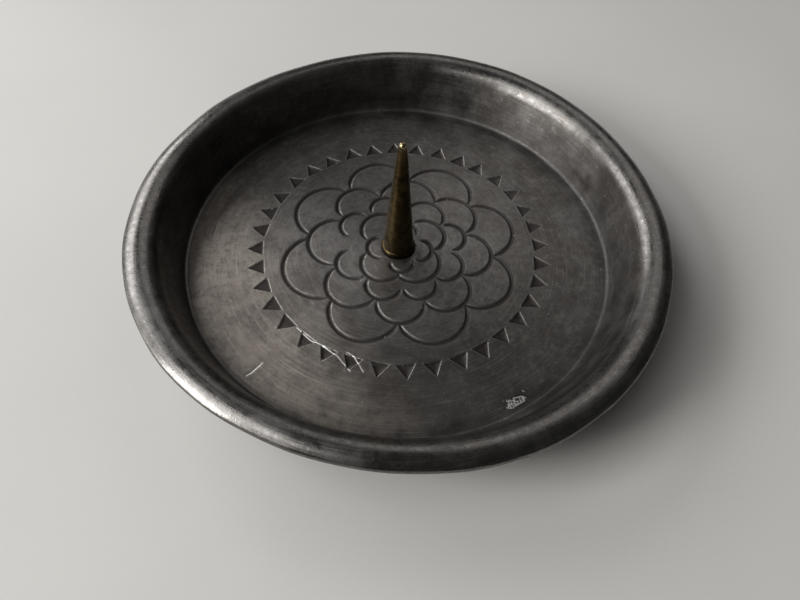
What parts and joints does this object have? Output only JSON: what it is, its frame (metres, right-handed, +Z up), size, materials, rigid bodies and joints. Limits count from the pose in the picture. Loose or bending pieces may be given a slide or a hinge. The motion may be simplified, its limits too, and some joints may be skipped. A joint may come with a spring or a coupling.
{
  "type": "pillar candle holder",
  "caption": "Low round dish with a steep wall and flared lip, and an upright spike in its struck floor that holds a pillar candle.",
  "frame": {"origin": "centre of the foot ring's bottom circle, on the surface the holder stands on", "axes": "+Z up along the spike; -Y towards the viewer"},
  "size_m": [0.11, 0.11, 0.0343],
  "materials": {
    "pewter": "dark oxidised pewter, satin, with fine turning marks and scratches",
    "brass": "turned brass with a dull olive-brown patina",
    "steel": "dull zinc-plated steel"
  },
  "bodies": {
    "root": {"dish": "pewter", "spike": "brass", "washer": "steel", "nut": "steel"}
  },
  "joints": []
}
